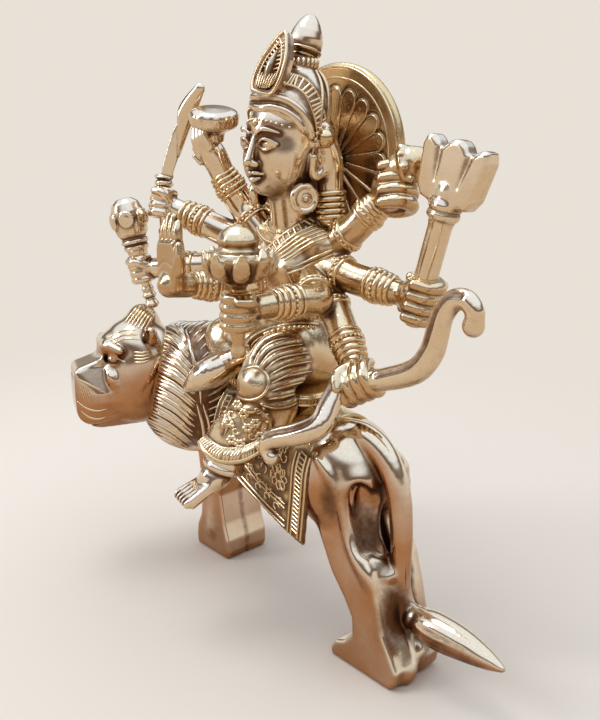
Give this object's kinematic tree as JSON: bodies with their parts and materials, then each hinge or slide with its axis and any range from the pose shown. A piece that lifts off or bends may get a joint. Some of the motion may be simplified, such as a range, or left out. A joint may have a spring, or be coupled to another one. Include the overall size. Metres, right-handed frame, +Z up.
{
  "type": "hindu deity statue",
  "caption": "Cast and brazed brass figurine of a many-armed goddess seated sideways on a standing lion, with raised attributes and a round halo.",
  "frame": {"origin": "middle of the outline seen from above, on the plane the paws stand on", "axes": "+Z up; the lion stands along X with its head at -X and its tail at +X; the goddess faces -Y"},
  "size_m": [0.1322, 0.0564, 0.153],
  "materials": {
    "polished_brass": "mirror polished",
    "satin_brass": "satin, filed and brushed",
    "cast_brass": "matte as cast, engraved"
  },
  "bodies": {
    "root": {"anklet": "satin_brass", "arm_left_bow": "satin_brass", "arm_left_conch": "satin_brass", "arm_left_lotus": "satin_brass", "arm_left_trident": "satin_brass", "arm_right_discus": "satin_brass", "arm_right_mace": "satin_brass", "arm_right_open": "satin_brass", "arm_right_sword": "satin_brass", "belt": "cast_brass", "bow": "polished_brass", "conch": "satin_brass", "crown": "cast_brass", "crown_finial": "polished_brass", "crown_leaf": "cast_brass", "discus": "polished_brass", "earring_left": "polished_brass", "earring_right": "polished_brass", "fixing_nut": "cast_brass", "fixing_stud": "cast_brass", "front_leg_far": "polished_brass", "front_leg_near": "polished_brass", "halo": "cast_brass", "halo_pin": "cast_brass", "head": "satin_brass", "hind_leg_far": "polished_brass", "hind_leg_near": "polished_brass", "lap": "satin_brass", "left_foot": "polished_brass", "left_shin": "cast_brass", "left_thigh": "satin_brass", "lion_body": "polished_brass", "lion_ear_left": "polished_brass", "lion_ear_right": "polished_brass", "lion_forelock": "satin_brass", "lion_head": "polished_brass", "lion_mane": "satin_brass", "lion_tail": "polished_brass", "lotus": "satin_brass", "mace": "polished_brass", "necklace": "cast_brass", "open_palm": "satin_brass", "right_foot": "polished_brass", "right_thigh": "cast_brass", "saddle_cloth": "cast_brass", "saddle_pad": "cast_brass", "sari_sash": "satin_brass", "side_lock_left": "cast_brass", "side_lock_right": "cast_brass", "sword": "polished_brass", "tail_tuft": "polished_brass", "torso": "satin_brass", "trident_head": "polished_brass", "trident_shaft": "polished_brass"}
  },
  "joints": []
}
